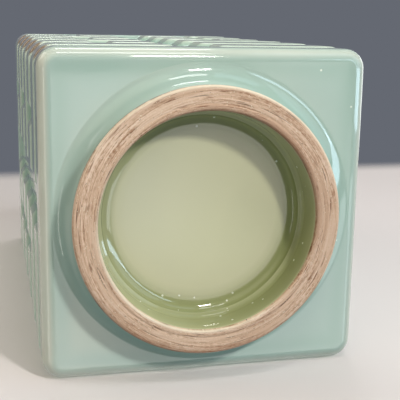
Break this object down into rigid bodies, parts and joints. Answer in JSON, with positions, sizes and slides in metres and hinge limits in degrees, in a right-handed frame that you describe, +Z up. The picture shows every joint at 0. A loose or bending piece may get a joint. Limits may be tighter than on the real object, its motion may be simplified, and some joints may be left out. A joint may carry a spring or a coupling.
{
  "type": "cong vase",
  "caption": "Square celadon-glazed porcelain vase with raised trigram bars wrapping its corners, a short round neck and a round unglazed foot rim.",
  "frame": {"origin": "centre of the foot ring, on the plane of its rim", "axes": "+Z up from the foot to the mouth, -Y out of the front face, +X to the right of it"},
  "size_m": [0.1332, 0.1332, 0.28],
  "materials": {
    "celadon_glaze": "glossy pale blue-green celadon glaze",
    "relief_glaze": "the same glaze, thinner and paler over the raised bars",
    "foot_biscuit": "bare pinkish-brown biscuit on the rim, glazed beside it",
    "inner_glaze": "thin glossy pale glaze inside the body"
  },
  "bodies": {
    "root": {"foot_ring": "foot_biscuit", "base_slab": "celadon_glaze", "front_wall": "celadon_glaze", "right_wall": "celadon_glaze", "back_wall": "celadon_glaze", "left_wall": "celadon_glaze", "front_left_seam_coil": "inner_glaze", "front_right_seam_coil": "inner_glaze", "back_right_seam_coil": "inner_glaze", "back_left_seam_coil": "inner_glaze", "shoulder_slab": "celadon_glaze", "neck": "celadon_glaze", "front_left_lower_trigram": "relief_glaze", "front_left_upper_trigram": "relief_glaze", "front_right_lower_trigram": "relief_glaze", "front_right_upper_trigram": "relief_glaze", "back_right_lower_trigram": "relief_glaze", "back_right_upper_trigram": "relief_glaze", "back_left_lower_trigram": "relief_glaze", "back_left_upper_trigram": "relief_glaze"}
  },
  "joints": []
}
